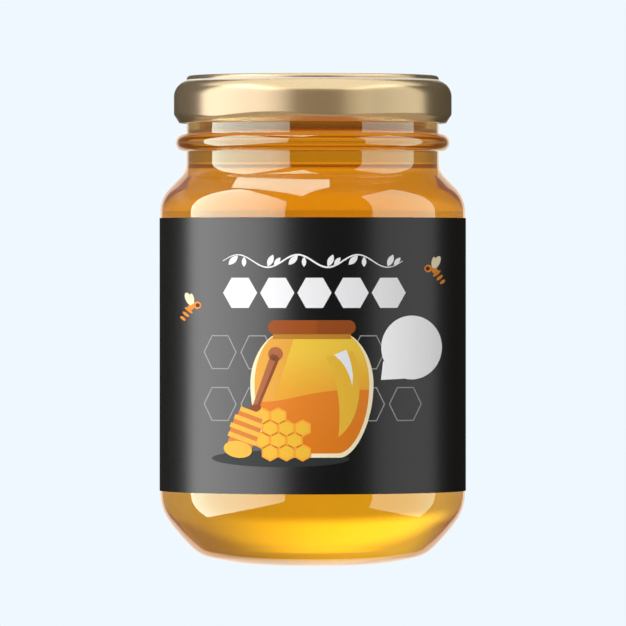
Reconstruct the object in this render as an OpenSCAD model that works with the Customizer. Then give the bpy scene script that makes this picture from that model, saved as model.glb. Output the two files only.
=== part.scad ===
// Honey jar: a clear glass jar with a twist-off lid, a wrapped paper label and honey inside.
// Millimetres, +Z up. The origin is the centre of the ring that the jar stands on.

/* [Glass body] */
// Outside diameter of the straight body
body_d = 74; // [60:0.5:90]
// Height of the glass, from the table to the rim of the mouth
jar_h = 116.7; // [95:0.1:142]
// Thickness of the glass in the body, shoulder and neck
wall = 2.6; // [2:0.1:3.2]
// Height of the inside floor above the table
floor_h = 3.8; // [3:0.1:4.6]
// Height of the hollow under the base, at its middle
push_up = 1; // [0.4:0.1:1.6]
// Width of the ring that the jar stands on
ring_w = 1.8; // [1:0.1:3]

/* [Heel] */
// Radius of the heel where it leaves the straight body
heel_top_r = 12.1; // [10:0.1:15]
// Radius of the long flank of the heel
flank_r = 45; // [36:0.5:54]
// Radius of the low corner of the heel
corner_r = 8.4; // [7:0.1:10]
// Radius of the shallow rise from the standing ring out to the low corner
under_r = 65; // [54:0.5:78]
// Slope at the top of the flank, from level
flank_top_a = 54.5; // [50:0.5:60]
// Slope at the foot of the flank, from level
flank_foot_a = 43.3; // [38:0.1:48]
// Slope where the low corner meets the shallow rise, from level
corner_a = 13.8; // [10:0.1:18]
// Slope at the edge of the standing ring, from level
ring_a = 5; // [3:0.5:8]

/* [Shoulder and neck] */
// How far the neck stands in from the body, on each side
neck_in = 6.4; // [5:0.1:8]
// Steepest slope of the shoulder, from upright
shoulder_a = 44; // [36:0.5:50]
// Radius of the shoulder where it leaves the body
shoulder_r = 8.2; // [6.5:0.1:10]
// Radius of the hollow where the shoulder runs into the neck
neck_fillet_r = 4.5; // [3.5:0.1:5.5]
// Height of the plain neck below the middle of the bead
neck_h = 5; // [4:0.1:6]

/* [Finish of the mouth] */
// Height from the middle of the bead to the rim
finish_h = 14.6; // [12:0.1:17.6]
// How far the bead stands out from the neck
bead_out = 2.6; // [2:0.1:3.2]
// Radius of the bead's round edge
bead_r = 2.15; // [1.8:0.05:2.6]
// How far a thread ridge stands out from the neck
thread_out = 1; // [0.8:0.05:1.2]
// Height of a thread ridge where it meets the neck
thread_h = 1.8; // [1.4:0.1:2.2]
// Angle that each thread ridge covers
thread_span = 34; // [20:1:44]
// Number of thread ridges, and of the lugs that hook under them
lug_count = 6; // [4:1:6]
// Radius that rounds both edges of the rim
rim_r = 0.8; // [0.5:0.1:1.1]

/* [Honey] */
// Height of the free space between the honey and the rim
headspace = 12.2; // [8:0.1:20]

/* [Label] */
// Thickness of the paper
label_t = 0.18; // [0.12:0.01:0.3]
// Bare glass between the heel and the label's lower edge
label_low = 0.4; // [0.2:0.1:6]
// Bare glass between the label's upper edge and the shoulder
label_top = 1.5; // [0.5:0.1:6]
// Width of the bare strip between the label's ends, at the back
label_gap = 56; // [2:1:90]

/* [Lid] */
// Space between the bead and the foot of the lid's rolled hem
hem_gap = 2.6; // [1:0.1:5]
// Thickness of the lid's sheet
lid_t = 0.3; // [0.2:0.05:0.4]
// Space between the thread ridges and the lid's wall
lid_clear = 1.8; // [1.5:0.1:2.2]
// Thickness of the sealing ring between the rim and the lid
seal_t = 1.4; // [1.1:0.1:1.7]
// Radius of the lid's outer shoulder
lid_round_r = 4; // [3.6:0.1:4.8]
// How far the raised ring round the panel stands in from the lid's wall
ring_in = 3.1; // [2.6:0.1:3.5]
// Height of the raised ring above the lid's shoulder
ring_rise = 1.25; // [1:0.05:1.5]
// Width of the raised ring
ring_top_w = 2.6; // [2:0.1:3.2]
// Depth of the lid's middle panel below the raised ring
panel_drop = 0.9; // [0.6:0.05:1.1]
// Radius of the bend where the lid's wall turns in to the hem
hem_r = 1; // [0.7:0.05:1.2]
// Slope of the hem's lower face, from level
hem_a = 45; // [35:1:50]
// How far the hem's inner edge stands in from the lid's wall
hem_in = 1.8; // [1.5:0.05:2]
// Height of the hem's upright inner face
hem_h = 1.6; // [1.3:0.05:1.8]
// Radius of the round button in the middle of the panel
button_r = 14; // [11:0.5:17]
// Rise of the button above the panel
button_rise = 0.35; // [0.2:0.05:0.5]
// Angle that each lug covers
lug_span = 14; // [8:1:20]
// Running space between a lug and the glass, sideways and up
lug_clear = 0.4; // [0.3:0.05:0.5]
// Turn of the lid and its thread about the upright axis
lug_turn = 40; // [0:1:59]

/* [Hidden] */
$fn = 120;

// Straight steps that make up one rounded stretch of an outline
arc_steps = 10;
// Points of an outline that are nearer to each other than this are one point
same_point = 0.001;
body_r = body_d / 2;
neck_r = body_r - neck_in;
mouth_r = neck_r - wall;

// Heights of the glass
bead_z = jar_h - finish_h;
neck_z = bead_z - neck_h;
shoulder_turn = 1 - cos(shoulder_a);
slope_l = (neck_in - (shoulder_r + neck_fillet_r) * shoulder_turn) / sin(shoulder_a);
shoulder_h = (shoulder_r + neck_fillet_r) * sin(shoulder_a) + slope_l * cos(shoulder_a);
shoulder_z = neck_z - shoulder_h;

// Outward direction of a surface that slopes up at this angle from level
function out_dir(a) = [sin(a), -cos(a)];

// Points of an arc about a centre, from one angle to another
function arc(c, r, a0, a1) = [
    for (i = [0:arc_steps])
        let (a = a0 + (a1 - a0) * i / arc_steps)
            c + r * [cos(a), sin(a)]];

// The same arc, with its angles given as slopes from level
function slope_arc(c, r, a0, a1) = arc(c, r, a0 - 90, a1 - 90);

// Centres of the heel's four tangent arcs, worked down from the body
heel_z = (heel_top_r - flank_r) * cos(flank_top_a) + (flank_r - corner_r) * cos(flank_foot_a)
    + (corner_r - under_r) * cos(corner_a) + under_r * cos(ring_a);
heel_top_c = [body_r - heel_top_r, heel_z];
flank_c = heel_top_c + (heel_top_r - flank_r) * out_dir(flank_top_a);
corner_c = flank_c + (flank_r - corner_r) * out_dir(flank_foot_a);
under_c = corner_c + (corner_r - under_r) * out_dir(corner_a);
ring_r = (under_c + under_r * out_dir(ring_a))[0];

// Hollow under the base, one shallow dome inside the standing ring
hollow_r = ring_r - ring_w;
dome_r = (hollow_r * hollow_r + push_up * push_up) / (2 * push_up);
dome_a = asin(hollow_r / dome_r);

// Rounded edge between the inside of the heel and the flat floor
inner_foot = flank_c + (flank_r - wall) * out_dir(flank_foot_a);
floor_edge_r = (inner_foot[1] - floor_h) / (1 - cos(flank_foot_a));
floor_edge_c = inner_foot - floor_edge_r * out_dir(flank_foot_a);

// Bead round the neck
bead_c = [neck_r + bead_out - bead_r, bead_z];
bead_a = acos((bead_r - bead_out) / bead_r);

honey_z = jar_h - headspace;

// Lid, worked out from the rim and the thread
lid_in_r = neck_r + thread_out + lid_clear;
lid_r = lid_in_r + lid_t;
lid_top_z = jar_h + seal_t + lid_t;
lid_foot_z = bead_z + bead_r + hem_gap;
panel_z = lid_top_z - panel_drop;
ring_top_r = lid_r - ring_in;
panel_r = ring_top_r - ring_top_w;
hem_in_r = lid_r - hem_in;
lug_z = [lid_foot_z + 2 * lid_t, lid_foot_z + hem_h - lid_t / 2];
lug_in_r = neck_r + lug_clear;
thread_z = lug_z[1] + lug_clear;

// Heel from the standing ring up to the body
function heel_outside() = concat(
    slope_arc(under_c, under_r, ring_a, corner_a),
    slope_arc(corner_c, corner_r, corner_a, flank_foot_a),
    slope_arc(flank_c, flank_r, flank_foot_a, flank_top_a),
    slope_arc(heel_top_c, heel_top_r, flank_top_a, 90));

// Shoulder from the body up to the neck, set in by the given thickness
function shoulder(inset) = concat(
    arc([body_r - shoulder_r, shoulder_z], shoulder_r - inset, 0, shoulder_a),
    arc([neck_r + neck_fillet_r, neck_z], neck_fillet_r + inset, 180 + shoulder_a, 180));

// Inside of the glass, from the middle of the floor up to the neck
function inside() = concat(
    [[0, floor_h]],
    slope_arc(floor_edge_c, floor_edge_r, 0, flank_foot_a),
    slope_arc(flank_c, flank_r - wall, flank_foot_a, flank_top_a),
    slope_arc(heel_top_c, heel_top_r - wall, flank_top_a, 90),
    shoulder(wall));

// Rim of the mouth, rounded on both edges
function rim() = concat(
    arc([neck_r - rim_r, jar_h - rim_r], rim_r, 0, 90),
    arc([mouth_r + rim_r, jar_h - rim_r], rim_r, 90, 180));

function reversed(p) = [for (i = [len(p) - 1:-1:0]) p[i]];

// An outline without its repeated points, which tangent arcs share
function distinct(p) = [for (i = [0:len(p) - 1]) if (i == 0 || norm(p[i] - p[i - 1]) > same_point) p[i]];

// One level ridge of the thread, centred on the X axis
module thread_ridge() {
    root_r = neck_r - wall / 4;
    rotate([0, 0, -thread_span / 2])
        rotate_extrude(angle = thread_span)
            polygon([
                [root_r, thread_z],
                [neck_r + thread_out / 2, thread_z],
                [neck_r + thread_out, thread_z + thread_h / 4],
                [neck_r + thread_out, thread_z + thread_h / 2],
                [neck_r, thread_z + thread_h],
                [root_r, thread_z + thread_h]]);
}

module glass_jar() {
    hollow_c = [0, push_up - dome_r];
    outside = concat(
        arc(hollow_c, dome_r, 90, 90 - dome_a),
        heel_outside(),
        shoulder(0),
        arc(bead_c, bead_r, -bead_a, bead_a),
        rim());
    color([0.86, 0.90, 0.88, 0.4]) {
        rotate_extrude()
            polygon(distinct(concat(outside, reversed(inside()))));
        for (i = [0:lug_count - 1])
            rotate([0, 0, lug_turn + i * 360 / lug_count])
                thread_ridge();
    }
}

module honey() {
    color([0.85, 0.50, 0.05])
        rotate_extrude()
            polygon(distinct(concat(inside(), [[mouth_r, honey_z], [0, honey_z]])));
}

module label() {
    gap_a = label_gap / body_r * 180 / PI;
    z0 = heel_z + label_low;
    z1 = shoulder_z - label_top;
    color([0.09, 0.09, 0.09])
        rotate([0, 0, 90 + gap_a / 2])
            rotate_extrude(angle = 360 - gap_a)
                translate([body_r, z0])
                    square([label_t, z1 - z0]);
}

// One lug, the part of the hem that is pressed in under a thread ridge
module lug() {
    rotate([0, 0, -lug_span / 2])
        rotate_extrude(angle = lug_span)
            translate([lug_in_r, lug_z[0]])
                square([hem_in_r + lid_t - lug_in_r, lug_z[1] - lug_z[0]]);
}

module lid() {
    ring_c = [ring_top_r - panel_drop, lid_top_z - panel_drop];
    round_a = acos(1 - ring_in / lid_round_r);
    round_c = [lid_r - lid_round_r, lid_top_z - ring_rise - lid_round_r * sin(round_a)];
    hem_face_w = hem_in - hem_r * (1 - sin(hem_a));
    hem_c = [lid_r - hem_r, lid_foot_z + hem_face_w * tan(hem_a) + hem_r * cos(hem_a)];
    button_z = panel_z + button_rise;
    top = concat(
        [[0, button_z], [button_r - button_rise, button_z], [button_r + button_rise, panel_z]],
        [[panel_r - panel_drop, panel_z], [panel_r, lid_top_z - panel_drop / 3]],
        [[panel_r + panel_drop / 3, lid_top_z]],
        arc(ring_c, panel_drop, 90, 0),
        arc(round_c, lid_round_r, round_a, 0));
    hem = concat(
        arc(hem_c, hem_r, 0, hem_a - 90),
        [[hem_in_r, lid_foot_z]],
        [[hem_in_r, lid_foot_z + hem_h], [lid_in_r, lid_foot_z + 2 * hem_h]]);
    under = concat(
        arc(round_c, lid_round_r - lid_t, 0, round_a),
        [[neck_r, jar_h], [mouth_r, jar_h]],
        [[mouth_r, panel_z - lid_t], [button_r, panel_z - lid_t]],
        [[button_r - button_rise, button_z - lid_t], [0, button_z - lid_t]]);
    color([0.80, 0.70, 0.50]) {
        rotate_extrude()
            polygon(distinct(concat(top, hem, under)));
        for (i = [0:lug_count - 1])
            rotate([0, 0, lug_turn + i * 360 / lug_count])
                lug();
    }
}

glass_jar();
honey();
label();
lid();
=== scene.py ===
# Honey jar: the looks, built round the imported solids. Metres, +Z up, the printed front faces -Y.
import math

import bmesh
import bpy
from mathutils import Matrix, Vector


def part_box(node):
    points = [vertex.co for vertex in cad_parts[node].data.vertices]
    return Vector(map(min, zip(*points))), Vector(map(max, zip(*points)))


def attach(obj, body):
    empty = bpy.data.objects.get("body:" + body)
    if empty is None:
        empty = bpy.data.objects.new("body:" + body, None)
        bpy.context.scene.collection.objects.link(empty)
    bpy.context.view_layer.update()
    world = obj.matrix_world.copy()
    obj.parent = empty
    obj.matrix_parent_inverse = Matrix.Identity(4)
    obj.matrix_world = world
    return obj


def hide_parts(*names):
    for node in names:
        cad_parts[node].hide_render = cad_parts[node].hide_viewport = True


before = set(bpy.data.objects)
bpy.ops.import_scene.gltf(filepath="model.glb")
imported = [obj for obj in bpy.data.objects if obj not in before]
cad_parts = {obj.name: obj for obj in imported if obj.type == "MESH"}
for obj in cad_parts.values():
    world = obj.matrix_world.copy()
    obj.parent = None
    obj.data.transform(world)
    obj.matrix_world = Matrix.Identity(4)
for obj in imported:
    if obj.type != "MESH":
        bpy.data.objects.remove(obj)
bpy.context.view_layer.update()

MM = 0.001

# ---------------------------------------------------------------- sizes from the frame
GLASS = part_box("glass_jar")
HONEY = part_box("honey")
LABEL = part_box("label")
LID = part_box("lid")
BODY_R = GLASS[1].x
JAR_H = GLASS[1].z
WALL = BODY_R - HONEY[1].x
FLOOR_H = HONEY[0].z
HONEY_Z = HONEY[1].z
LABEL_R = LABEL[1].x
LABEL_Z0, LABEL_Z1 = LABEL[0].z, LABEL[1].z
LABEL_HALF = math.pi - math.acos(LABEL[1].y / LABEL_R)
LID_R = LID[1].x
LID_TOP, LID_FOOT = LID[1].z, LID[0].z

# The glass outline's own sizes, as the solid has them
PUSH_UP = 1.0 * MM
RING_W = 1.8 * MM
HEEL_TOP_R = 12.1 * MM
FLANK_R = 45 * MM
CORNER_R = 8.4 * MM
UNDER_R = 65 * MM
FLANK_TOP_A = 54.5
FLANK_FOOT_A = 43.3
CORNER_A = 13.8
RING_A = 5
NECK_IN = 6.4 * MM
SHOULDER_A = 44
SHOULDER_R = 8.2 * MM
NECK_FILLET_R = 4.5 * MM
NECK_H = 5 * MM
FINISH_H = 14.6 * MM
BEAD_OUT = 2.6 * MM
BEAD_R = 2.15 * MM
THREAD_OUT = 1.0 * MM
THREAD_H = 1.8 * MM
THREAD_SPAN = 34
RIM_R = 0.8 * MM

# The lid's own sizes
LID_T = 0.3 * MM
LID_ROUND_R = 4 * MM
RING_IN = 3.1 * MM
RING_RISE = 1.25 * MM
RING_TOP_W = 2.6 * MM
RING_EDGE_R = 0.9 * MM
PANEL_DROP = 0.9 * MM
BUTTON_R = 14 * MM
BUTTON_RISE = 0.35 * MM
LUG_COUNT = 6
LUG_TURN = 40
LUG_SPAN = 14
LUG_Z = LID_FOOT + 1.25 * MM

NECK_R = BODY_R - NECK_IN
MOUTH_R = NECK_R - WALL
BEAD_Z = JAR_H - FINISH_H
NECK_Z = BEAD_Z - NECK_H
THREAD_Z = LUG_Z + 0.4 * MM


# ---------------------------------------------------------------- outlines
def cosd(a):
    return math.cos(math.radians(a))


def sind(a):
    return math.sin(math.radians(a))


def out_dir(a):
    """Outward direction, in (r, z), of a surface that slopes up at this angle from level."""
    return Vector((sind(a), -cosd(a)))


def arc(c, r, a0, a1, steps=16):
    """Points round the centre c from angle a0 to angle a1."""
    angles = [a0 + (a1 - a0) * i / steps for i in range(steps + 1)]
    return [Vector((c[0] + r * cosd(a), c[1] + r * sind(a))) for a in angles]


def slope_arc(c, r, a0, a1, steps=16):
    """An arc on which the outline's slope goes from a0 to a1."""
    return arc(c, r, a0 - 90, a1 - 90, steps)


def bezier(p0, p1, p2, p3, steps=12):
    """A smooth curve from p0 to p3 that leaves towards p1 and arrives from p2."""
    points = []
    for i in range(steps + 1):
        t = i / steps
        k = ((1 - t) ** 3, 3 * t * (1 - t) ** 2, 3 * t * t * (1 - t), t ** 3)
        points.append(Vector((sum(w * p[0] for w, p in zip(k, (p0, p1, p2, p3))),
                              sum(w * p[1] for w, p in zip(k, (p0, p1, p2, p3))))))
    return points


def distinct(points):
    kept = [points[0]]
    for p in points[1:]:
        if (p - kept[-1]).length > 1e-6:
            kept.append(p)
    return kept


shoulder_turn = 1 - cosd(SHOULDER_A)
slope_l = (NECK_IN - (SHOULDER_R + NECK_FILLET_R) * shoulder_turn) / sind(SHOULDER_A)
SHOULDER_Z = NECK_Z - (SHOULDER_R + NECK_FILLET_R) * sind(SHOULDER_A) - slope_l * cosd(SHOULDER_A)

HEEL_Z = ((HEEL_TOP_R - FLANK_R) * cosd(FLANK_TOP_A) + (FLANK_R - CORNER_R) * cosd(FLANK_FOOT_A)
          + (CORNER_R - UNDER_R) * cosd(CORNER_A) + UNDER_R * cosd(RING_A))
heel_top_c = Vector((BODY_R - HEEL_TOP_R, HEEL_Z))
flank_c = heel_top_c + (HEEL_TOP_R - FLANK_R) * out_dir(FLANK_TOP_A)
corner_c = flank_c + (FLANK_R - CORNER_R) * out_dir(FLANK_FOOT_A)
under_c = corner_c + (CORNER_R - UNDER_R) * out_dir(CORNER_A)
RING_R = (under_c + UNDER_R * out_dir(RING_A))[0]


def shoulder(inset):
    return (arc((BODY_R - SHOULDER_R, SHOULDER_Z), SHOULDER_R - inset, 0, SHOULDER_A)
            + arc((NECK_R + NECK_FILLET_R, NECK_Z), NECK_FILLET_R + inset, 180 + SHOULDER_A, 180))


def glass_outside():
    hollow_r = RING_R - RING_W
    dome_r = (hollow_r ** 2 + PUSH_UP ** 2) / (2 * PUSH_UP)
    dome_a = math.degrees(math.asin(hollow_r / dome_r))
    bead_a = math.degrees(math.acos((BEAD_R - BEAD_OUT) / BEAD_R))
    bead_c = (NECK_R + BEAD_OUT - BEAD_R, BEAD_Z)
    bead_h = BEAD_R * sind(bead_a)
    return distinct(
        arc((0, PUSH_UP - dome_r), dome_r, 90, 90 - dome_a, 10)
        + slope_arc(under_c, UNDER_R, RING_A, CORNER_A)
        + slope_arc(corner_c, CORNER_R, CORNER_A, FLANK_FOOT_A)
        + slope_arc(flank_c, FLANK_R, FLANK_FOOT_A, FLANK_TOP_A)
        + slope_arc(heel_top_c, HEEL_TOP_R, FLANK_TOP_A, 90)
        + shoulder(0)
        + [Vector((NECK_R, BEAD_Z - bead_h - d * MM)) for d in (0.6, 0.12)]
        + arc(bead_c, BEAD_R, -bead_a, bead_a, 28)
        + [Vector((NECK_R, BEAD_Z + bead_h + d * MM)) for d in (0.12, 0.6)]
        + arc((NECK_R - RIM_R, JAR_H - RIM_R), RIM_R, 0, 90, 6))


def inside(wall, floor_h):
    """Inside of the glass, or of a skin that lies this deep, from the middle of the floor up to the neck."""
    foot = flank_c + (FLANK_R - wall) * out_dir(FLANK_FOOT_A)
    edge_r = (foot[1] - floor_h) / (1 - cosd(FLANK_FOOT_A))
    edge_c = foot - edge_r * out_dir(FLANK_FOOT_A)
    return distinct(
        [Vector((0, floor_h))]
        + slope_arc(edge_c, edge_r, 0, FLANK_FOOT_A)
        + slope_arc(flank_c, FLANK_R - wall, FLANK_FOOT_A, FLANK_TOP_A)
        + slope_arc(heel_top_c, HEEL_TOP_R - wall, FLANK_TOP_A, 90)
        + shoulder(wall))


# ---------------------------------------------------------------- mesh helpers
def new_object(name, verts, faces, smooth=True, closed=True):
    mesh = bpy.data.meshes.new(name)
    mesh.from_pydata([tuple(v) for v in verts], [], faces)
    mesh.validate()
    if closed:
        shape = bmesh.new()
        shape.from_mesh(mesh)
        bmesh.ops.recalc_face_normals(shape, faces=shape.faces)
        shape.to_mesh(mesh)
        shape.free()
    mesh.update()
    if smooth:
        mesh.polygons.foreach_set("use_smooth", [True] * len(mesh.polygons))
    obj = bpy.data.objects.new(name, mesh)
    bpy.context.scene.collection.objects.link(obj)
    return obj


def revolve(outline_at, segments, closed=False):
    """Vertices and faces of an outline turned about Z. outline_at(angle) gives its (r, z) points."""
    columns = [outline_at(360 * i / segments) for i in range(segments)]
    count = len(columns[0])
    verts, rings = [], []
    for k in range(count):
        if all(c[k][0] < 1e-7 for c in columns):
            rings.append([len(verts)] * segments)
            verts.append((0, 0, columns[0][k][1]))
            continue
        rings.append(list(range(len(verts), len(verts) + segments)))
        for i, c in enumerate(columns):
            a = 360 * i / segments
            verts.append((c[k][0] * cosd(a), c[k][0] * sind(a), c[k][1]))
    if closed:
        rings.append(rings[0])
    faces = []
    for low, high in zip(rings, rings[1:]):
        for i in range(segments):
            j = (i + 1) % segments
            face = [low[i], low[j], high[j], high[i]]
            face = [v for n, v in enumerate(face) if v not in face[:n]]
            if len(face) > 2:
                faces.append(face)
    return verts, faces


def lathe(name, outline, segments=240):
    return new_object(name, *revolve(lambda a: outline, segments))


def faces_in(polygon):
    """Whether a polygon faces towards the jar's axis."""
    return polygon.normal.x * polygon.center.x + polygon.normal.y * polygon.center.y < 0


def dress(obj, mat, node):
    """Gives a finished piece its material, hides the CAD node that it stands for and hangs the piece on its
    body.
    """
    obj.data.materials.append(mat)
    if node:
        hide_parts(node)
    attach(obj, "root")
    return obj


# ---------------------------------------------------------------- materials
def srgb(text):
    """A colour as the eye reads it, such as "#e4b740", turned into Blender's linear light."""
    parts = [int(text[i:i + 2], 16) / 255 for i in (1, 3, 5)]
    return [p / 12.92 if p <= 0.04045 else ((p + 0.055) / 1.055) ** 2.4 for p in parts]


def material(name):
    mat = bpy.data.materials.new(name)
    mat.use_nodes = True
    nodes, links = mat.node_tree.nodes, mat.node_tree.links
    return mat, nodes, links, nodes["Principled BSDF"]


def map_range(nodes, links, value, low, high, out_low=0.0, out_high=1.0, smooth=True):
    """The value, eased from out_low at low to out_high at high."""
    node = nodes.new("ShaderNodeMapRange")
    node.interpolation_type = "SMOOTHSTEP" if smooth else "LINEAR"
    for slot_name, v in (("From Min", low), ("From Max", high), ("To Min", out_low), ("To Max", out_high)):
        node.inputs[slot_name].default_value = v
    links.new(value, node.inputs["Value"])
    return node.outputs["Result"]


def math_node(nodes, links, operation, *values):
    node = nodes.new("ShaderNodeMath")
    node.operation = operation
    for k, v in enumerate(values):
        if isinstance(v, (int, float)):
            node.inputs[k].default_value = v
        else:
            links.new(v, node.inputs[k])
    return node.outputs[0]


def noise(nodes, links, scale, detail=3.0, stretch=(1, 1, 1)):
    """Noise fixed to the piece, as a value round 0.5."""
    place = nodes.new("ShaderNodeTexCoord")
    spread = nodes.new("ShaderNodeMapping")
    spread.inputs["Scale"].default_value = stretch
    tex = nodes.new("ShaderNodeTexNoise")
    tex.inputs["Scale"].default_value = scale
    tex.inputs["Detail"].default_value = detail
    links.new(place.outputs["Object"], spread.inputs["Vector"])
    links.new(spread.outputs[0], tex.inputs["Vector"])
    return tex.outputs["Fac"]


def rough_from(nodes, links, bsdf, fac, low, high):
    links.new(map_range(nodes, links, fac, 0.3, 0.7, low, high, smooth=False), bsdf.inputs["Roughness"])


def bump_from(nodes, links, bsdf, fac, height, strength):
    bump = nodes.new("ShaderNodeBump")
    bump.inputs["Strength"].default_value = strength
    bump.inputs["Distance"].default_value = height
    links.new(fac, bump.inputs["Height"])
    links.new(bump.outputs[0], bsdf.inputs["Normal"])


def height_of(nodes, links):
    place = nodes.new("ShaderNodeTexCoord")
    split = nodes.new("ShaderNodeSeparateXYZ")
    links.new(place.outputs["Object"], split.inputs[0])
    return split.outputs["Z"]


def two_colours(nodes, links, fac, low, high):
    mix = nodes.new("ShaderNodeMix")
    mix.data_type = "RGBA"
    links.new(fac, mix.inputs["Factor"])
    mix.inputs["A"].default_value = (*low, 1)
    mix.inputs["B"].default_value = (*high, 1)
    return mix.outputs["Result"]


# Looks. Colours are in linear light, glows are the light given off, and scales are ups and downs per metre.
GLASS_TINT = (0.985, 0.992, 0.988)
RIM_COLOUR, RIM_FROM, RIM_LIGHT = (1.0, 0.80, 0.58), 0.62, 0.2
# The honey's tint is painted light and shade: white in the heel as painted light, deep amber towards the
# shoulder, partly the honey's own colour and partly painted shade under the lid.
HONEY_LOW, HONEY_HIGH, HONEY_FILM = (1.0, 1.0, 1.0), (0.77, 0.53, 0.36), (0.60, 0.33, 0.09)
HONEY_LOW_Z, HONEY_HIGH_Z, FILM_FADE = 10 * MM, 105 * MM, 0.4 * MM
HONEY_ABSORBS, HONEY_DENSITY = (0.997, 0.887, 0.32), 100
HAZE_COLOUR, HAZE_GLOW = (1.0, 0.48, 0.05), 2.5
PAPER_GRAIN, PAPER_UNEVEN, PAPER_RELIEF = 4200, 0.025, 0.003 * MM
# Painted glow on faces seen inside the jar and the lid: its colour, and its strength on the paper's back and
# in the lid.
INSIDE_GLOW_COLOUR, PAPER_GLOW, LID_GLOW = (0.95, 0.97, 1.0), 0.9, 0.25
GOLD_DARK, GOLD_PALE = (0.88, 0.68, 0.39), (0.92, 0.72, 0.42)
DRAWN_SCALE, DRAWN_STRETCH, DRAWN_RELIEF = 500, (1, 1, 14), 0.001 * MM
PATCH_SCALE = 60
LACQUER_DARK, LACQUER_PALE, LACQUER_SCALE = (0.66, 0.42, 0.16), (0.74, 0.50, 0.22), 400
SEAL_COLOUR, SEAL_SCALE = (0.75, 0.73, 0.68), 900


def glass_material():
    """Clear glass. Its edges give off a little light, in place of what a few bounces lose in thick glass."""
    mat, nodes, links, bsdf = material("clear_glass")
    bsdf.inputs["Base Color"].default_value = (*GLASS_TINT, 1)
    bsdf.inputs["Roughness"].default_value = 0.0
    bsdf.inputs["IOR"].default_value = 1.5
    bsdf.inputs["Transmission Weight"].default_value = 1.0
    bsdf.inputs["Emission Color"].default_value = (*RIM_COLOUR, 1)
    edge = nodes.new("ShaderNodeLayerWeight")
    links.new(map_range(nodes, links, edge.outputs["Facing"], RIM_FROM, 1.0, 0.0, RIM_LIGHT),
              bsdf.inputs["Emission Strength"])
    return mat


def honey_material():
    """Amber that takes up blue light first. Its tint is painted light and shade: white in the heel, where
    light glows through, and deeper amber towards the shoulder, in the lid's shade.

    Its haze stands for the light that the honey scatters.
    """
    mat, nodes, links, bsdf = material("honey")
    bsdf.inputs["Roughness"].default_value = 0.06
    bsdf.inputs["IOR"].default_value = 1.49
    bsdf.inputs["Transmission Weight"].default_value = 1.0
    # Painted light and shade: the tint runs from white in the heel to deep amber at the shoulder.
    deep = map_range(nodes, links, height_of(nodes, links), HONEY_LOW_Z, HONEY_HIGH_Z)
    body = two_colours(nodes, links, deep, HONEY_LOW, HONEY_HIGH)
    film = nodes.new("ShaderNodeMix")
    film.data_type = "RGBA"
    above_level = map_range(nodes, links, height_of(nodes, links), HONEY_Z, HONEY_Z + FILM_FADE)
    links.new(above_level, film.inputs["Factor"])
    links.new(body, film.inputs["A"])
    film.inputs["B"].default_value = (*HONEY_FILM, 1)
    links.new(film.outputs["Result"], bsdf.inputs["Base Color"])
    absorb = nodes.new("ShaderNodeVolumeAbsorption")
    absorb.inputs["Color"].default_value = (*HONEY_ABSORBS, 1)
    absorb.inputs["Density"].default_value = HONEY_DENSITY
    haze = nodes.new("ShaderNodeEmission")
    haze.inputs["Color"].default_value = (*HAZE_COLOUR, 1)
    haze.inputs["Strength"].default_value = HAZE_GLOW
    both = nodes.new("ShaderNodeAddShader")
    links.new(absorb.outputs[0], both.inputs[0])
    links.new(haze.outputs[0], both.inputs[1])
    links.new(both.outputs[0], nodes["Material Output"].inputs["Volume"])
    return mat


def paper_material(name, low, high=None, z0=0.0, z1=1.0, specular=0.2):
    """Satin printed paper with a fine grain. The ink may fade from one colour up to another."""
    mat, nodes, links, bsdf = material(name)
    grain = noise(nodes, links, PAPER_GRAIN, 2.0)
    if high:
        fade = map_range(nodes, links, height_of(nodes, links), z0, z1)
        ink = two_colours(nodes, links, fade, low, high)
    else:
        ink = two_colours(nodes, links, map_range(nodes, links, grain, 0.3, 0.7),
                          [c * (1 - PAPER_UNEVEN) for c in low],
                          [min(1.0, c * (1 + PAPER_UNEVEN)) for c in low])
    links.new(ink, bsdf.inputs["Base Color"])
    bsdf.inputs["Specular IOR Level"].default_value = specular
    rough_from(nodes, links, bsdf, grain, 0.27, 0.36)
    bump_from(nodes, links, bsdf, grain, PAPER_RELIEF, 0.3)
    return mat


def painted_inside_glow(mat, strength):
    """A face that only shows through the honey or the glass. It glows faintly, as painted light in place of
    the light that spreads inside the jar.
    """
    bsdf = mat.node_tree.nodes["Principled BSDF"]
    bsdf.inputs["Emission Color"].default_value = (*INSIDE_GLOW_COLOUR, 1)
    bsdf.inputs["Emission Strength"].default_value = strength
    return mat


def gold_material():
    """Gold lacquer over tinplate: satin, with the faint drawn lines of the pressed sheet."""
    mat, nodes, links, bsdf = material("lid_gold")
    drawn = noise(nodes, links, DRAWN_SCALE, 3.0, DRAWN_STRETCH)
    patches = noise(nodes, links, PATCH_SCALE, 2.0)
    links.new(two_colours(nodes, links, patches, GOLD_DARK, GOLD_PALE), bsdf.inputs["Base Color"])
    bsdf.inputs["Metallic"].default_value = 0.85
    rough_from(nodes, links, bsdf, drawn, 0.22, 0.26)
    bump_from(nodes, links, bsdf, drawn, DRAWN_RELIEF, 0.1)
    return mat


def lacquer_material():
    """The golden lacquer that coats the inside of the lid."""
    mat, nodes, links, bsdf = material("lid_lacquer")
    spread = noise(nodes, links, LACQUER_SCALE, 2.0)
    links.new(two_colours(nodes, links, spread, LACQUER_DARK, LACQUER_PALE), bsdf.inputs["Base Color"])
    rough_from(nodes, links, bsdf, spread, 0.35, 0.5)
    return mat


def seal_material():
    """Pale soft plastic that glows faintly, as painted light inside the lid."""
    mat, nodes, links, bsdf = material("lid_seal")
    bsdf.inputs["Base Color"].default_value = (*SEAL_COLOUR, 1)
    rough_from(nodes, links, bsdf, noise(nodes, links, SEAL_SCALE), 0.45, 0.6)
    return painted_inside_glow(mat, LID_GLOW)


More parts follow.
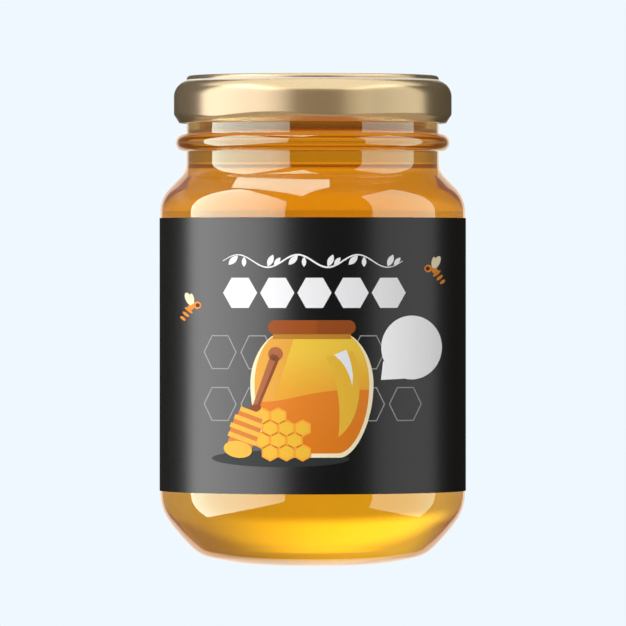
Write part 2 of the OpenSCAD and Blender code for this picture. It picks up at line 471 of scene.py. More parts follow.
# ---------------------------------------------------------------- glass and honey
def make_glass():
    inner = inside(WALL, FLOOR_H)
    rim = arc((MOUTH_R + RIM_R, JAR_H - RIM_R), RIM_R, 90, 180, 6)
    verts, faces = revolve(lambda a: distinct(glass_outside() + rim + inner[::-1]), 240)
    for i in range(LUG_COUNT):
        add_thread_ridge(verts, faces, LUG_TURN + 360 * i / LUG_COUNT)
    return dress(new_object("glass", verts, faces), glass_material(), "glass_jar")


def add_thread_ridge(verts, faces, middle, steps=20):
    """One ridge of the thread, which swells from nothing at both ends."""
    first = len(verts)
    for i in range(steps + 1):
        swell = math.sin(math.pi * i / steps) ** 0.3 if 0 < i < steps else 0.02
        a = middle + THREAD_SPAN * (i / steps - 0.5)
        section = [(NECK_R - WALL / 4, THREAD_Z)] + [
            (NECK_R + swell * THREAD_OUT * sind(t), THREAD_Z + THREAD_H * (1 - cosd(t)) / 2)
            for t in range(0, 181, 20)] + [(NECK_R - WALL / 4, THREAD_Z + THREAD_H)]
        verts.extend((r * cosd(a), r * sind(a), z) for r, z in section)
    count = (len(verts) - first) // (steps + 1)
    for i in range(steps):
        b = first + i * count
        for k in range(count):
            m = (k + 1) % count
            faces.append((b + k, b + count + k, b + count + m, b + m))
    faces.append(tuple(range(first, first + count)))
    faces.append(tuple(reversed(range(first + steps * count, first + (steps + 1) * count))))


INTO_WALL = 0.2 * MM
MENISCUS_R = 0.8 * MM
FILM_T = 0.5 * MM
FILM_Z = LID_FOOT + 0.4 * MM


def make_honey():
    """The honey reaches just into the glass, and a thin film of it clings to the neck above its level."""
    side = inside(WALL - INTO_WALL, FLOOR_H - INTO_WALL)
    edge_r = MOUTH_R + INTO_WALL
    film_r = edge_r - FILM_T
    meniscus = arc((film_r - MENISCUS_R, HONEY_Z + MENISCUS_R), MENISCUS_R, 0, -90, 8)
    top = ([Vector((edge_r, FILM_Z - d * MM)) for d in (1.0, 0.1, 0)]
           + [Vector((film_r, FILM_Z)), Vector((film_r, FILM_Z - 0.1 * MM))] + meniscus
           + [Vector((film_r - 2 * MENISCUS_R, HONEY_Z)), Vector((0, HONEY_Z))])
    obj = lathe("honey_fill", distinct(side + top))
    return dress(obj, honey_material(), "honey")


# ---------------------------------------------------------------- lid
HEM_R = 1.0 * MM
HEM_A = 45
HEM_IN = 1.8 * MM
HEM_H = 1.6 * MM
HEM_WAVE = 0.38 * MM
CURL_R = 0.35 * MM
LUG_IN = 0.9 * MM
LUG_FOOT, LUG_TOP = 0.6 * MM, 1.3 * MM
LUG_RAMP = 2
STEP_IN, STEP_OUT = 1.2 * MM, 0.9 * MM
SEAL_SINK = 0.05 * MM


def lid_outline(angle):
    """The lid's closed section at one angle. The hem rises and falls between the lugs, which fold inwards."""
    turn = (angle - LUG_TURN) * LUG_COUNT
    wave = HEM_WAVE * cosd(turn)
    off = abs((angle - LUG_TURN + 180 / LUG_COUNT) % (360 / LUG_COUNT) - 180 / LUG_COUNT)
    lug = LUG_IN * max(0.0, min(1.0, (LUG_SPAN / 2 + LUG_RAMP - off) / LUG_RAMP))
    ring_r = LID_R - RING_IN
    panel_r = ring_r - RING_TOP_W
    panel_z = LID_TOP - PANEL_DROP
    round_a = math.degrees(math.acos(1 - RING_IN / LID_ROUND_R))
    round_c = (LID_R - LID_ROUND_R, LID_TOP - RING_RISE - LID_ROUND_R * sind(round_a))
    face_w = HEM_IN - HEM_R * (1 - sind(HEM_A))
    hem_c = (LID_R - HEM_R, LID_FOOT + face_w + HEM_R * cosd(HEM_A) - wave)
    curl_c = (LID_R - HEM_IN + CURL_R, LID_FOOT + CURL_R)
    button_z = panel_z + BUTTON_RISE
    top = ([Vector((0, button_z))]
           + bezier((BUTTON_R - 2 * BUTTON_RISE, button_z), (BUTTON_R, button_z),
                    (BUTTON_R, panel_z), (BUTTON_R + 2 * BUTTON_RISE, panel_z), 6)
           + bezier((panel_r - STEP_IN, panel_z), (panel_r, panel_z), (panel_r - 0.3 * MM, LID_TOP),
                    (panel_r + STEP_OUT, LID_TOP), 10)
           + arc((ring_r - RING_EDGE_R, LID_TOP - RING_EDGE_R), RING_EDGE_R, 90, 0, 8)
           + arc(round_c, LID_ROUND_R, round_a, 0, 20))
    hem = (arc(hem_c, HEM_R, 0, HEM_A - 90, 8)
           + arc(curl_c, CURL_R, -60, -180, 8)
           + [Vector((LID_R - HEM_IN - lug, LID_FOOT + LUG_FOOT)),
              Vector((LID_R - HEM_IN - lug, LID_FOOT + LUG_TOP)),
              Vector((LID_R - HEM_IN, LID_FOOT + HEM_H)),
              Vector((LID_R - LID_T, LID_FOOT + 2 * HEM_H))])
    under = (arc(round_c, LID_ROUND_R - LID_T, 0, round_a, 12)
             + [Vector((ring_r - 1.0 * MM, LID_TOP - LID_T)), Vector((panel_r + STEP_OUT, LID_TOP - LID_T)),
                Vector((panel_r - STEP_IN / 2, panel_z - LID_T)), Vector((0, panel_z - LID_T))])
    return top + hem + under


def make_lid():
    obj = new_object("lid_shell", *revolve(lid_outline, 360))
    dress(obj, gold_material(), "lid")
    # The lid's inside lacquer glows faintly: painted light.
    obj.data.materials.append(painted_inside_glow(lacquer_material(), LID_GLOW))
    for p in obj.data.polygons:
        inner_side = faces_in(p) and p.center.z > LID_FOOT + HEM_H and p.center.xy.length > LID_R - RING_IN
        underside = p.normal.z < -0.5 and p.center.z > LID_FOOT + 2 * HEM_H
        if inner_side or underside:
            p.material_index = 1
    return obj


def make_seal():
    """The sealing ring that the lid presses on the rim."""
    ring = [Vector((MOUTH_R, JAR_H - SEAL_SINK)), Vector((NECK_R, JAR_H - SEAL_SINK)),
            Vector((NECK_R + 0.2 * MM, LID_TOP - 1.1 * MM)), Vector((MOUTH_R + 0.6 * MM, LID_TOP - LID_T)),
            Vector((MOUTH_R, LID_TOP - PANEL_DROP - LID_T))]
    obj = new_object("lid_seal", *revolve(lambda a: ring, 160, closed=True))
    return dress(obj, seal_material(), None)


# ---------------------------------------------------------------- label
BACK_OF_PAPER = 0.01 * MM
LABEL_COLUMNS = 300
LABEL_BLACK = (0.003, 0.003, 0.0031)
LABEL_BACK = (0.8, 0.8, 0.78)
LABEL_SHINE = 1.0


def make_label():
    """The wrapped paper: inked outside, bare paper inside, which glows faintly with painted light."""
    columns = LABEL_COLUMNS
    inner_r = BODY_R + BACK_OF_PAPER
    verts, faces = [], []
    for i in range(columns + 1):
        a = -math.pi / 2 - LABEL_HALF + 2 * LABEL_HALF * i / columns
        c, s = math.cos(a), math.sin(a)
        for r, z in ((LABEL_R, LABEL_Z0), (LABEL_R, LABEL_Z1), (inner_r, LABEL_Z1), (inner_r, LABEL_Z0)):
            verts.append((r * c, r * s, z))
    for i in range(columns):
        b, n = 4 * i, 4 * (i + 1)
        for k in range(4):
            m = (k + 1) % 4
            faces.append((b + k, n + k, n + m, b + m))
    faces.append((0, 1, 2, 3))
    faces.append((4 * columns + 3, 4 * columns + 2, 4 * columns + 1, 4 * columns))
    obj = new_object("label_sheet", verts, faces, smooth=False)
    dress(obj, paper_material("label_ink", LABEL_BLACK, specular=LABEL_SHINE), "label")
    # The bare back of the paper glows faintly: painted light.
    obj.data.materials.append(painted_inside_glow(paper_material("label_back", LABEL_BACK), PAPER_GLOW))
    for p in obj.data.polygons:
        p.use_smooth = abs(p.normal.z) < 0.5 and len(p.vertices) == 4
        if Vector((p.center.x, p.center.y)).length < inner_r + BACK_OF_PAPER:
            p.material_index = 1
    verts = obj.data.vertices
    for e in obj.data.edges:
        one, other = (verts[i].co for i in e.vertices)
        e.use_edge_sharp = abs(one.z - other.z) < BACK_OF_PAPER
    return obj


# The print. Places are (across, up) in millimetres: across from the middle of the front, as seen from the
# front, and up from the table. Each layer of ink lies a hair above the one below.
INK_T = 0.012 * MM
COLUMN_A = 1
WIDEST_A = 80
INK_COLOURS = {
    "white": "#e0e0e2", "badge": "#f0f0f1", "line": "#8e8e90", "cream": "#e6dab6",
    "wood_light": "#8c4413", "wood_dark": "#964a14",
    "gold_dark": "#b07a22", "gold_left": "#d99c38", "glint": "#d8dadf", "crescent": "#d9aa30",
    "stick": "#a35f38", "stick_dark": "#84401f", "dip_light": "#e0a93a", "dip_dark": "#c8742c",
    "cell": "#dfae30", "cell_edge": "#e8962a", "bee": "#d8822a", "bee_dark": "#4a2410", "wing": "#e4d8b4",
    "shade": "#2b302e"}
# Inks that fade upwards: from this colour to that, between these two heights
FADING_INKS = {"gold": ("#dc9a2a", "#deb83a", 40, 54), "amber": ("#d0720e", "#d4781c", 28, 42)}


class Print:
    """Collects flat shapes of one ink and lays them round the label."""

    def __init__(self, name):
        self.name = name
        self.verts = []
        self.faces = []

    def place(self, p, layer):
        r = LABEL_R + layer * INK_T
        x = p[0] * MM
        return (x, -math.sqrt(r * r - x * x), p[1] * MM)

    def fill(self, outline, layer):
        """A filled shape, cut into narrow upright columns so that it can follow the round label."""
        flat = bmesh.new()
        flat.faces.new([flat.verts.new((p[0], p[1], 0)) for p in outline])
        low, high = min(p[0] for p in outline), max(p[0] for p in outline)
        for angle in range(-WIDEST_A, WIDEST_A + 1, COLUMN_A):
            cut = LABEL_R / MM * sind(angle)
            if low < cut < high:
                bmesh.ops.bisect_plane(flat, geom=flat.verts[:] + flat.edges[:] + flat.faces[:],
                                       plane_co=(cut, 0, 0), plane_no=(1, 0, 0))
        bmesh.ops.triangulate(flat, faces=flat.faces[:])
        first = len(self.verts)
        flat.verts.index_update()
        self.verts.extend(self.place(v.co, layer) for v in flat.verts)
        self.faces.extend([first + v.index for v in f.verts] for f in flat.faces)
        flat.free()

    def band(self, one, other, layer, closed=False):
        """The strip between two lines of as many points."""
        first = len(self.verts)
        count = len(one)
        self.verts.extend(self.place(p, layer) for p in list(one) + list(other))
        for i in range(count if closed else count - 1):
            j = (i + 1) % count
            self.faces.append((first + i, first + j, first + count + j, first + count + i))

    def make(self, mat):
        obj = new_object("print_" + self.name, self.verts, self.faces, smooth=False, closed=False)
        for p in obj.data.polygons:
            if faces_in(p):
                p.flip()
        thick = obj.modifiers.new("ink", "SOLIDIFY")
        thick.thickness = INK_T
        thick.offset = -1
        return dress(obj, mat, None)


def oval(c, rx, rz, turn=0.0, steps=40):
    return [Vector((c[0] + rx * cosd(t) * cosd(turn) - rz * sind(t) * sind(turn),
                    c[1] + rx * cosd(t) * sind(turn) + rz * sind(t) * cosd(turn)))
            for t in (360 * i / steps for i in range(steps))]


def hexagon(c, rx, rz, pointed=True, steps=1):
    """A hexagon with its points up, or its flats up. Its sides can be cut into steps."""
    corners = [Vector((c[0] + rx * cosd(a), c[1] + rz * sind(a)))
               for a in (60 * i + (30 if pointed else 0) for i in range(6))]
    return [p + (q - p) * k / steps for p, q in zip(corners, corners[1:] + corners[:1]) for k in range(steps)]


def stroke(points, width):
    """The two sides of a line of this width, which tapers towards both ends."""
    sides = ([], [])
    last = len(points) - 1
    for i, p in enumerate(points):
        along = (points[min(i + 1, last)] - points[max(i - 1, 0)]).normalized()
        half = Vector((-along[1], along[0])) * width / 2 * (0.35 + 0.65 * math.sin(math.pi * i / last))
        sides[0].append(p + half)
        sides[1].append(p - half)
    return sides


def slanted_box(p, q, half_p, half_q):
    """A bar from p to q with its own half-width at each end."""
    along = (Vector(q) - Vector(p)).normalized()
    side = Vector((-along[1], along[0]))
    return [Vector(p) - side * half_p, Vector(q) - side * half_q, Vector(q) + side * half_q,
            Vector(p) + side * half_p]


# Half the width across the points of a hexagon whose flats are 1 apart
HEX_HALF = 0.577
TITLE_X, TITLE_Z, TITLE_H, TITLE_W, TITLE_COUNT, TITLE_FILL = 0.4, 65.8, 7.2, 44.4, 5, 0.46
VINE_Z, VINE_W, VINE_WAVES, VINE_SWING, VINE_LINE, VINE_STEPS = 73.4, 43.0, 3, 1.5, 0.42, 120
CELL_ROWS_Z = (51.6, 39.2)
CELL_ROW_W, CELL_ROW_COUNT, CELL_FILL, CELL_HALF_H, CELL_LINE = 53.2, 6, 0.45, 4.7, 0.3
POT_X, POT_Z0, POT_Z1, POT_BULGE_Z = -0.2, 26.5, 55.6, 44.0
POT_HALF, POT_NECK_HALF, POT_FOOT_HALF = 14.7, 9.3, 6.6
POT_RIM = 1.0
COMB_X, COMB_Z, COMB_PITCH = -12.1, 36.4, 3.88
COMB_SQUEEZE = 0.86
BAR_Z, BAR_R, BAR_HALF = 57.6, 1.68, 8.8
DIPPER_TOP, DIPPER_FOOT, DIPPER_RINGS = (-14.4, 37.7), (-17.8, 28.4), 9
BADGE_C, BADGE_R, BADGE_TALL = (23.7, 52.7), 7.35, 1.04
# Each bee's place, and 1 if it looks right or -1 if it looks left
BEES = (((-29.2, 62.4), 1), ((29.2, 71.2), -1))


def print_title(ink):
    """A row of bold cells where such a label has its title, with a thin vine above it."""
    pitch = TITLE_W / TITLE_COUNT
    for i in range(TITLE_COUNT):
        x = (i - (TITLE_COUNT - 1) / 2) * pitch + TITLE_X
        ink["white"].fill(hexagon((x, TITLE_Z), pitch * TITLE_FILL, TITLE_H * HEX_HALF, pointed=False), 1)
    stem = []
    for i in range(VINE_STEPS + 1):
        t = i / VINE_STEPS
        stem.append(Vector(((t - 0.5) * VINE_W, VINE_Z + VINE_SWING * sind(360 * VINE_WAVES * t))))
    ink["white"].band(*stroke(stem, VINE_LINE), 1)
    for k in range(2 * VINE_WAVES):
        t = (k + 0.5) / (2 * VINE_WAVES)
        up = 1 if k % 2 else -1
        x = (t - 0.5) * VINE_W
        ink["white"].fill(leaf((x, VINE_Z - up * 1.3), 3.1, 100 * up - 35), 1)
        ink["white"].fill(leaf((x + 1.5, VINE_Z - up * 1.0), 2.4, 70 * up - 20), 1)


def leaf(root, length, turn):
    """A pointed leaf that grows from root, turned this many degrees up from level."""
    d = Vector((cosd(turn), sind(turn)))
    side = Vector((-d[1], d[0]))
    root = Vector(root)
    tip = root + d * length
    low, high = root + d * 0.3 * length, root + d * 0.7 * length
    bulge = side * 0.30 * length
    out = bezier(root, low + bulge, high + bulge, tip, 8)
    back = bezier(tip, high - bulge, low - bulge, root, 8)
    return out[:-1] + back[:-1]


def print_cell_rows(ink):
    """Two rows of thin outlined cells behind the picture."""
    pitch = CELL_ROW_W / CELL_ROW_COUNT
    half_w = pitch * CELL_FILL
    for z in CELL_ROWS_Z:
        for i in range(CELL_ROW_COUNT):
            c = ((i - (CELL_ROW_COUNT - 1) / 2) * pitch, z)
            outer = hexagon(c, half_w, CELL_HALF_H, pointed=False, steps=6)
            inner = hexagon(c, half_w - CELL_LINE, CELL_HALF_H - CELL_LINE, pointed=False, steps=6)
            ink["line"].band(outer, inner, 1, closed=True)


def pot_half(inset, side):
    """One side of the pot, from its foot up to its neck."""
    foot = Vector((POT_FOOT_HALF - inset / 2, POT_Z0 + inset))
    bulge = Vector((POT_HALF - inset, POT_BULGE_Z))
    neck = Vector((POT_NECK_HALF - inset / 3, POT_Z1))
    low = bezier(foot, foot + Vector((3.6, 0.0)), bulge - Vector((0, 9.5)), bulge, 20)
    high = bezier(bulge, bulge + Vector((0, 5.6)), neck + Vector((2.6, -1.6)), neck, 16)
    return [Vector((POT_X + side * p[0], p[1])) for p in low + high[1:]]


def pot_outline(inset):
    """The pot's whole outline, this far in from its edge."""
    return pot_half(inset, 1) + pot_half(inset, -1)[::-1]


def clipped(outline, start, end):
    """The part of an outline to the left of the line from start to end."""
    start, end = Vector(start), Vector(end)
    side = Vector((-(end - start)[1], (end - start)[0])).normalized()
    kept = []
    for p, q in zip(outline, outline[1:] + outline[:1]):
        a, b = (p - start).dot(side), (q - start).dot(side)
        if a >= 0:
            kept.append(p)
        if (a >= 0) != (b >= 0):
            kept.append(p + (q - p) * (a / (a - b)))
    return kept


def print_pot(ink):
    """A round pot of honey with a wooden lid."""
    ink["shade"].fill(oval((-7.7, 26.2), 16.5, 2.0), 1)
    ink["cream"].fill(pot_outline(0), 2)
    inner = pot_outline(POT_RIM)
    ink["gold"].fill(inner, 3)
    right_side = [p for p in pot_half(POT_RIM, 1) if p[1] < 42.6]
    left_side = [p for p in pot_half(POT_RIM, -1) if p[1] < 40.2]
    wave = bezier(left_side[-1], (-7.0, 39.0), (0.5, 43.6), right_side[-1], 24)
    ink["amber"].fill(left_side + wave[1:-1] + right_side[::-1], 4)
    shaded = clipped(inner, (-10.2, 38.0), (-4.0, 56.5))
    ink["gold_left"].fill(clipped(shaded, (-1, 40.0), (0, 40.0)), 5)
    crescent = (bezier((3.0, 50.5), (5.8, 46.0), (7.0, 39.0), (6.1, 31.4), 16)
                + bezier((6.1, 31.4), (10.5, 34.5), (13.0, 42.5), (9.6, 52.0), 16)[1:])
    ink["crescent"].fill(crescent, 6)
    glint = (bezier((5.0, 51.0), (7.4, 49.4), (8.8, 46.6), (9.4, 43.6), 10)
             + bezier((9.4, 43.6), (9.9, 46.4), (9.2, 49.6), (8.0, 52.2), 10)[1:])
    ink["glint"].fill(glint, 7)
    neck = [Vector((POT_X - POT_NECK_HALF, 54.8)), Vector((POT_X + POT_NECK_HALF, 54.8)),
            Vector((POT_X + POT_NECK_HALF, 56.2)), Vector((POT_X - POT_NECK_HALF, 56.2))]
    ink["gold_dark"].fill(neck, 7)
    bar = (arc((POT_X + BAR_HALF, BAR_Z), BAR_R, -90, 90, 12)
           + arc((POT_X - BAR_HALF, BAR_Z), BAR_R, 90, 270, 12))
    ink["wood_light"].fill(bar, 8)
    ink["wood_dark"].fill(clipped(bar, (0.9, 50.0), (0.9, 60.0)), 9)


def print_comb(ink):
    """A piece of comb in front of the pot."""
    counts = (2, 3, 3, 3)
    step_z = COMB_PITCH * sind(60) * COMB_SQUEEZE
    for row, count in enumerate(counts):
        for k in range(count):
            c = (COMB_X + (k + row % 2 / 2) * COMB_PITCH, COMB_Z - row * step_z)
            ink["cell_edge"].fill(hexagon(c, 2.32, 2.15), 8)
            ink["cell"].fill(hexagon(c, 1.86, 1.68), 9)


def print_dipper(ink):
    """A turned honey dipper that leans in front of the pot."""
    ink["stick"].fill(oval((-8.9, 51.2), 1.75, 1.7), 8)
    ink["stick"].fill(slanted_box((-8.9, 51.0), (-13.6, 38.6), 1.1, 0.8), 8)
    ink["stick_dark"].fill(slanted_box((-8.2, 50.4), (-13.1, 38.6), 0.35, 0.3), 9)
    ink["stick_dark"].fill(oval((-13.9, 38.2), 1.6, 0.9, 15), 9)
    top, foot = Vector(DIPPER_TOP), Vector(DIPPER_FOOT)
    along = (foot - top).normalized()
    side = Vector((-along[1], along[0]))
    for i in range(DIPPER_RINGS):
        t0, t1 = i / DIPPER_RINGS, (i + 1) / DIPPER_RINGS
        wide = (2.7 + 1.1 * math.sin(math.pi * (t0 + t1) / 2)) * (0.92 if i % 2 else 1.0)
        name = "dip_dark" if i % 2 else "dip_light"
        p, q = top + (foot - top) * t0, top + (foot - top) * t1
        ink[name].fill([p - side * wide, p + side * wide, q + side * wide, q - side * wide], 10 + i % 2)
    ink["dip_light"].fill(oval((-17.9, 28.4), 3.4, 2.0, -8), 12)


def print_bee(ink, c, face):
    """A small bee: a round head, two wings and a striped body. face is 1 to look right, -1 to look left."""
    x, z = c
    ink["bee"].fill(oval((x + face * 1.5, z + 0.4), 0.95, 0.9), 1)
    ink["bee_dark"].fill(oval((x + face * 1.6, z + 0.4), 0.5, 0.48), 2)
    ink["wing"].fill(oval((x - face * 0.6, z + 1.9), 0.75, 1.6, face * 25), 2)
    ink["wing"].fill(oval((x + face * 0.2, z + 1.9), 0.5, 1.3, face * 8), 3)
    ink["bee"].fill(oval((x - face * 0.1, z - 0.1), 0.95, 0.7, face * 40), 1)
    for k in range(3):
        along = 0.95 * (k + 0.8)
        mid = Vector((x - face * along * 0.75, z - along * 1.05))
        ink["bee"].fill(oval(mid, 1.15 - 0.18 * k, 0.36, -face * 38, 16), 1)


def print_badge(ink):
    """A round white badge with a short tail, left blank."""
    x, z = BADGE_C
    tail = [Vector((x - 6.9, z - 3.2)), Vector((x - 7.4, z - 7.7)), Vector((x - 1.2, z - 7.4))]
    ink["badge"].fill(tail, 10)
    ink["badge"].fill(oval(BADGE_C, BADGE_R, BADGE_TALL * BADGE_R, 0, 64), 11)


def make_print():
    """One thin piece for each ink. Names, words and marks are left out."""
    names = list(INK_COLOURS) + list(FADING_INKS)
    ink = {name: Print(name) for name in names}
    print_title(ink)
    print_cell_rows(ink)
    print_pot(ink)
    print_comb(ink)
    print_dipper(ink)
    print_badge(ink)
    for place, face in BEES:
        print_bee(ink, place, face)
    mats = {name: paper_material("ink_" + name, srgb(text)) for name, text in INK_COLOURS.items()}
    for name, (low, high, z0, z1) in FADING_INKS.items():
        mats[name] = paper_material("ink_" + name, srgb(low), srgb(high), z0 * MM, z1 * MM)
    return [ink[name].make(mats[name]) for name in names]


# ---------------------------------------------------------------- stage
BACK = (0.863, 0.939, 1.0)
DIM, DIM_STRENGTH = (1.0, 0.88, 0.75), 0.025

# The backdrop as the jar shows it. Angles are in degrees: to the right of straight behind the jar, and up
# from level. A full jar turns its backdrop left to right, so what is on the right shows on the jar's left.
THROUGH, GLOW = 0.68, 1.35
GLOW_RISE = (9, 19)
GLOW_RIGHT, GLOW_LEFT = (40, -15), (-70, -35)
RIGHT_FADE, RIGHT_DIM = (0, 50), 0.6
LEFT_SIDE_FADE, LEFT_SIDE_DIM = (-30, -75), 0.5
TOP_FADE, TOP_DIM = (22, 28), 0.45
FRONT_FADE = (100, 130)


def background(nodes, links, color, strength):
    node = nodes.new("ShaderNodeBackground")
    node.inputs["Color"].default_value = (*color, 1)
    links.new(strength, node.inputs["Strength"])
    return node.outputs[0]


def make_world():
    """A plain pale backdrop. Through the jar it is brightest about 20 degrees up, which the heel shows.

    What lies in front of the jar is dim, and so is everything that only shows as a reflection.
    """
    world = bpy.data.worlds.new("studio")
    bpy.context.scene.world = world
    world.use_nodes = True
    nodes, links = world.node_tree.nodes, world.node_tree.links
    nodes.clear()

    def ease(value, span, start, end, smooth=True):
        return map_range(nodes, links, value, *span, start, end, smooth)

    def calc(operation, *values):
        return math_node(nodes, links, operation, *values)

    out = nodes.new("ShaderNodeOutputWorld")
    path = nodes.new("ShaderNodeLightPath")
    place = nodes.new("ShaderNodeTexCoord")
    split = nodes.new("ShaderNodeSeparateXYZ")
    links.new(place.outputs["Generated"], split.inputs[0])
    x, y, z = (split.outputs[k] for k in "XYZ")
    azimuth = calc("MULTIPLY", calc("ARCTAN2", x, y), 180 / math.pi)
    height = calc("MULTIPLY", calc("ARCSINE", z), 180 / math.pi)

    glow_width = calc("MINIMUM", ease(azimuth, GLOW_RIGHT, 0, 1), ease(azimuth, GLOW_LEFT, 0, 1))
    glow = calc("MULTIPLY", ease(height, GLOW_RISE, 0, GLOW), glow_width)
    right = ease(azimuth, RIGHT_FADE, 1, RIGHT_DIM, smooth=False)
    left = ease(azimuth, LEFT_SIDE_FADE, 1, LEFT_SIDE_DIM, smooth=False)
    top = ease(height, TOP_FADE, 1, TOP_DIM)
    front = ease(calc("ABSOLUTE", azimuth), FRONT_FADE, 1.0, DIM_STRENGTH)
    fades = calc("MULTIPLY", calc("MULTIPLY", right, left), calc("MULTIPLY", front, top))
    through = calc("MULTIPLY", calc("ADD", glow, THROUGH), fades)
    seen_strength = nodes.new("ShaderNodeMix")
    seen_strength.data_type = "FLOAT"
    links.new(path.outputs["Is Camera Ray"], seen_strength.inputs["Factor"])
    links.new(through, seen_strength.inputs["A"])
    seen_strength.inputs["B"].default_value = 1.0
    seen = background(nodes, links, BACK, seen_strength.outputs[0])

    dim = nodes.new("ShaderNodeBackground")
    dim.inputs["Color"].default_value = (*DIM, 1)
    dim.inputs["Strength"].default_value = DIM_STRENGTH

    either = calc("MAXIMUM", path.outputs["Is Camera Ray"], path.outputs["Transmission Depth"])
    mix = nodes.new("ShaderNodeMixShader")
    links.new(either, mix.inputs[0])
    links.new(dim.outputs[0], mix.inputs[1])
    links.new(seen, mix.inputs[2])
    links.new(mix.outputs[0], out.inputs["Surface"])


# Soft boxes: how bright each looks, and how far it fades across. The clear pieces are glass and honey.
LEFT, LEFT_FADE = 8.2, 0.45
RIGHT = 3.3
ABOVE = 6.2
BEHIND = 0.7
PAPER_LEFT, PAPER_LEFT_FADE, PAPER_RIGHT, PAPER_FRONT = 2.25, 0.35, 0.52, 0.85
LID_LEFT, LID_FADE = 1.2, 0.0
LID_RIGHT, LID_RIGHT_GAIN = 0.1, 6.5
LID_ABOVE, LID_BEHIND, LID_FRONT, LID_BELOW = 0.75, 0.3, 0.13, 0.3
COOL, WARM, PALE = (0.80, 1.0, 0.88), (1.0, 0.82, 0.64), (1.0, 1.0, 1.15)

PANEL_MIDDLE = (0, 0, 55 * MM)
PANEL_FAR = 0.8
POWER_SHARE = 4


def panel(name, corner, other, third, radiance, fade, receivers, color=(1, 1, 1), half=False):
    """A soft box with sides from corner to other and from corner to third, as seen from the jar's middle.

    It fades from its full brightness at the first corner's edge to fade times that at the edge through other.
    Half of it is the triangle between the three corners. Blender divides a lamp's power by POWER_SHARE times
    its area, so radiance is multiplied by that here.
    """
    middle = Vector(PANEL_MIDDLE)
    corner, other, third = (Vector(p) * PANEL_FAR + middle for p in (corner, other, third))
    across, up = other - corner, third - corner
    light = bpy.data.lights.new(name, "AREA")
    light.shape = "RECTANGLE"
    light.size, light.size_y = across.length, up.length
    light.energy = 1.0
    light.color = color
    light.use_nodes = True
    nodes, links = light.node_tree.nodes, light.node_tree.links
    emit = nodes["Emission"]
    place = nodes.new("ShaderNodeNewGeometry")
    split = nodes.new("ShaderNodeSeparateXYZ")
    links.new(place.outputs["Parametric"], split.inputs[0])
    strength = radiance * across.length * up.length * POWER_SHARE
    power = map_range(nodes, links, split.outputs["X"], 0, 1, strength, strength * fade, smooth=False)
    if half:
        from_corner = math_node(nodes, links, "ADD", split.outputs["X"], split.outputs["Y"])
        power = math_node(nodes, links, "MULTIPLY", power,
                          math_node(nodes, links, "LESS_THAN", from_corner, 1.0))
    links.new(power, emit.inputs["Strength"])
    obj = bpy.data.objects.new(name, light)
    obj.location = corner + (across + up) / 2
    axis_x, axis_y = across.normalized(), up.normalized()
    axis_z = axis_x.cross(axis_y)
    obj.rotation_mode = "QUATERNION"
    obj.rotation_quaternion = Matrix((axis_x, axis_y, axis_z)).transposed().to_quaternion()
    obj.visible_camera = False
    obj.visible_transmission = False
    obj.light_linking.receiver_collection = receivers
    bpy.context.scene.collection.objects.link(obj)
    return obj


def gather(name, pieces):
    """A set of pieces that a light can be kept to."""
    group = bpy.data.collections.new(name)
    for piece in pieces:
        group.objects.link(piece)
    return group


def make_lights(clear_pieces, paper_pieces, lid_pieces):
    """Soft boxes round the jar. The clear pieces, the paper and the lid each have a set of their own."""
    clear_set, paper_set, lid_set = (gather(name, pieces) for name, pieces in (
        ("clear_set", clear_pieces), ("paper_set", paper_pieces), ("lid_set", lid_pieces)))
    left = ((-1, 0.24, -0.75), (-1, -2.66, -0.75), (-1, 0.24, 1.72))
    right = ((1, -1.0, -0.75), (1, 0.25, -0.75), (1, -1.0, 1.5))
    above = ((0.16, 0.015, 1), (-0.61, 0.30, 1), (-0.15, -0.823, 1))
    lid_left = ((-1, 0.24, -0.75), (-1, -3.5, -0.75), (-1, 0.24, 1.72))
    lid_right = ((1, -2.2, -0.75), (1, 0.25, -0.75), (1, -2.2, 1.5))
    ceiling = ((-1.0, -1.2, 1), (1.0, -1.2, 1), (-1.0, 0.8, 1))
    behind = ((0.42, 1, -0.9), (-0.42, 1, -0.9), (0.42, 1, 1.0))
    far_behind = ((0.2, 1, -0.9), (-0.2, 1, -0.9), (0.2, 1, 1.0))
    front = ((-1.2, -1, -0.6), (1.2, -1, -0.6), (-1.2, -1, 1.2))
    below = ((-1.4, -1.4, -1), (-1.4, 1.4, -1), (1.4, -1.4, -1))
    panel("left_clear", *left, LEFT, LEFT_FADE, clear_set, COOL)
    panel("right_clear", *right, RIGHT, 1.0, clear_set, COOL)
    panel("above_clear", *above, ABOVE, 1.0, clear_set, COOL, half=True)
    panel("behind_clear", *behind, BEHIND, 1.0, clear_set, WARM)
    panel("left_paper", *left, PAPER_LEFT, PAPER_LEFT_FADE, paper_set)
    panel("right_paper", *right, PAPER_RIGHT, 1.0, paper_set)
    panel("front_paper", *front, PAPER_FRONT, 1.0, paper_set).visible_glossy = False
    panel("left_lid", *lid_left, LID_LEFT, LID_FADE, lid_set, PALE)
    panel("right_lid", *lid_right, LID_RIGHT, LID_RIGHT_GAIN, lid_set)
    panel("above_lid", *ceiling, LID_ABOVE, 1.0, lid_set)
    panel("behind_lid", *far_behind, LID_BEHIND, 1.0, lid_set)
    panel("front_lid", *front, LID_FRONT, 1.0, lid_set, WARM)
    panel("below_lid", *below, LID_BELOW, 1.0, lid_set, WARM)


FLOOR_HALF = 6.0
FLOOR_MIDDLE = (-40 * MM, 10 * MM)
FLOOR_FAR, FLOOR_NEAR_DIM = (0.12, 0.42), 0.68


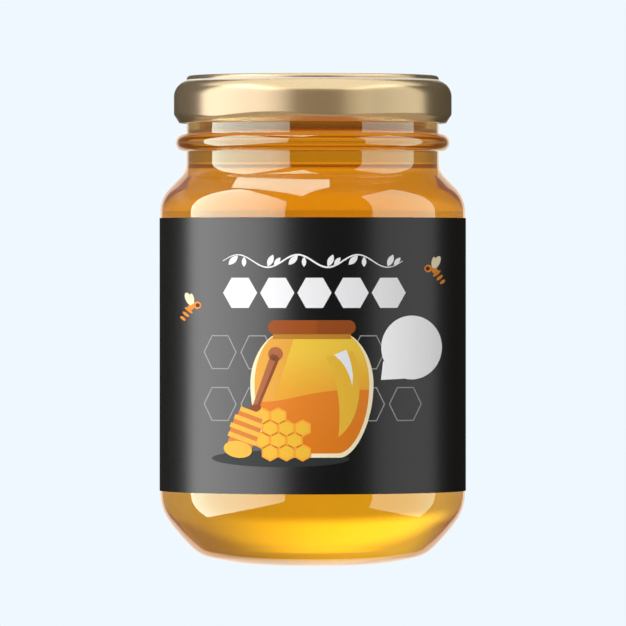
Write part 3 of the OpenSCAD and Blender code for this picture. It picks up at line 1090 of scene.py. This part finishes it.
def make_floor():
    """A plain pale floor, as bright as the backdrop. The jar sees it dim in front and bright behind."""
    size = FLOOR_HALF
    obj = new_object("floor", [(-size, -size, 0), (size, -size, 0), (size, size, 0), (-size, size, 0)],
                     [(0, 1, 2, 3)], smooth=False, closed=False)
    mat = bpy.data.materials.new("floor")
    mat.use_nodes = True
    nodes, links = mat.node_tree.nodes, mat.node_tree.links
    nodes.clear()
    out = nodes.new("ShaderNodeOutputMaterial")
    glow = nodes.new("ShaderNodeEmission")
    glow.inputs["Color"].default_value = (*BACK, 1)
    place = nodes.new("ShaderNodeTexCoord")
    split = nodes.new("ShaderNodeSeparateXYZ")
    links.new(place.outputs["Object"], split.inputs[0])
    path = nodes.new("ShaderNodeLightPath")
    far = math_node(nodes, links, "MULTIPLY",
                    map_range(nodes, links, split.outputs["Y"], *FLOOR_MIDDLE, DIM_STRENGTH, 1.0),
                    map_range(nodes, links, split.outputs["Y"], *FLOOR_FAR, FLOOR_NEAR_DIM, 1.0))
    links.new(math_node(nodes, links, "MAXIMUM", path.outputs["Is Camera Ray"], far), glow.inputs["Strength"])
    links.new(glow.outputs[0], out.inputs["Surface"])
    obj.data.materials.append(mat)
    obj.visible_glossy = False
    obj.visible_diffuse = False
    obj.visible_shadow = False


# The camera stands level with the upper third of the label and looks a little down.
EYE_Z = 71.75 * MM
EYE_FAR = 2.0517
LENS, SENSOR = 486, 36
AIM_Z = 60.8 * MM
SIDE = 0.06 * MM


def make_camera():
    cam = bpy.data.cameras.new("camera")
    cam.lens = LENS
    cam.sensor_width = SENSOR
    cam.clip_end = 100
    obj = bpy.data.objects.new("camera", cam)
    bpy.context.scene.collection.objects.link(obj)
    obj.location = (SIDE, -EYE_FAR, EYE_Z)
    aim = Vector((SIDE, 0, AIM_Z))
    obj.rotation_mode = "QUATERNION"
    obj.rotation_quaternion = (aim - obj.location).to_track_quat("-Z", "Y")
    bpy.context.scene.camera = obj


glass = make_glass()
honey = make_honey()
label = make_label()
prints = make_print()
lid = make_lid()
seal = make_seal()
make_world()
make_lights([glass, honey], [label] + prints, [lid, seal])
make_floor()
make_camera()
bpy.context.scene.view_settings.view_transform = "Standard"
